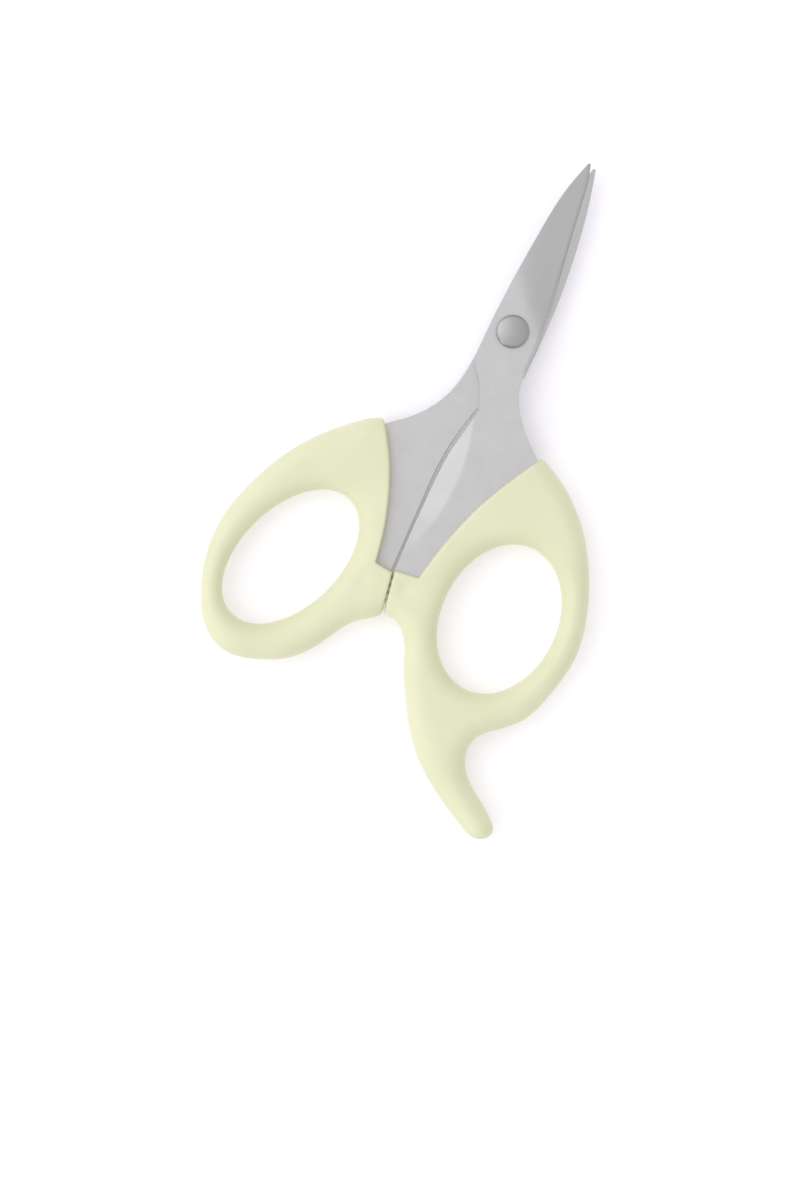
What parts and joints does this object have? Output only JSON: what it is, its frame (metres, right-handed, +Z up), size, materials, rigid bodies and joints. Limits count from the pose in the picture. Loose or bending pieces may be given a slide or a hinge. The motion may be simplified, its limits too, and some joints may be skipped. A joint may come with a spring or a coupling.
{
  "type": "thread snips",
  "caption": "Small thread snips lying closed: ground steel blades on a domed pivot, with moulded finger bows and a curved finger rest.",
  "frame": {"origin": "the foot of the pivot nut on the pivot axis, on the surface that the closed snips lie on", "axes": "+Y along the closed blades towards their points, +Z up along the pivot axis to the screw's head, +X towards the finger bow"},
  "size_m": [0.0647, 0.1112, 0.007],
  "materials": {
    "blade_steel": "satin ground stainless steel",
    "pivot_steel": "turned stainless steel",
    "spring_steel": "plain spring steel",
    "bow_plastic": "pale yellow-green moulded plastic, satin",
    "washer_plastic": "natural white acetal"
  },
  "bodies": {
    "upper_half": {"upper_blade": "blade_steel", "finger_bow": "bow_plastic", "pivot_screw": "pivot_steel", "friction_washer": "washer_plastic", "spring_washer": "spring_steel", "pivot_nut": "pivot_steel"},
    "lower_half": {"lower_blade": "blade_steel", "thumb_bow": "bow_plastic"}
  },
  "joints": [
    {"name": "blade_pivot", "type": "hinge", "parent": "upper_half", "child": "lower_half", "pos_m": [0, 0, 0.0035], "axis": [0, 0, -1], "range_deg": [0, 100]}
  ]
}
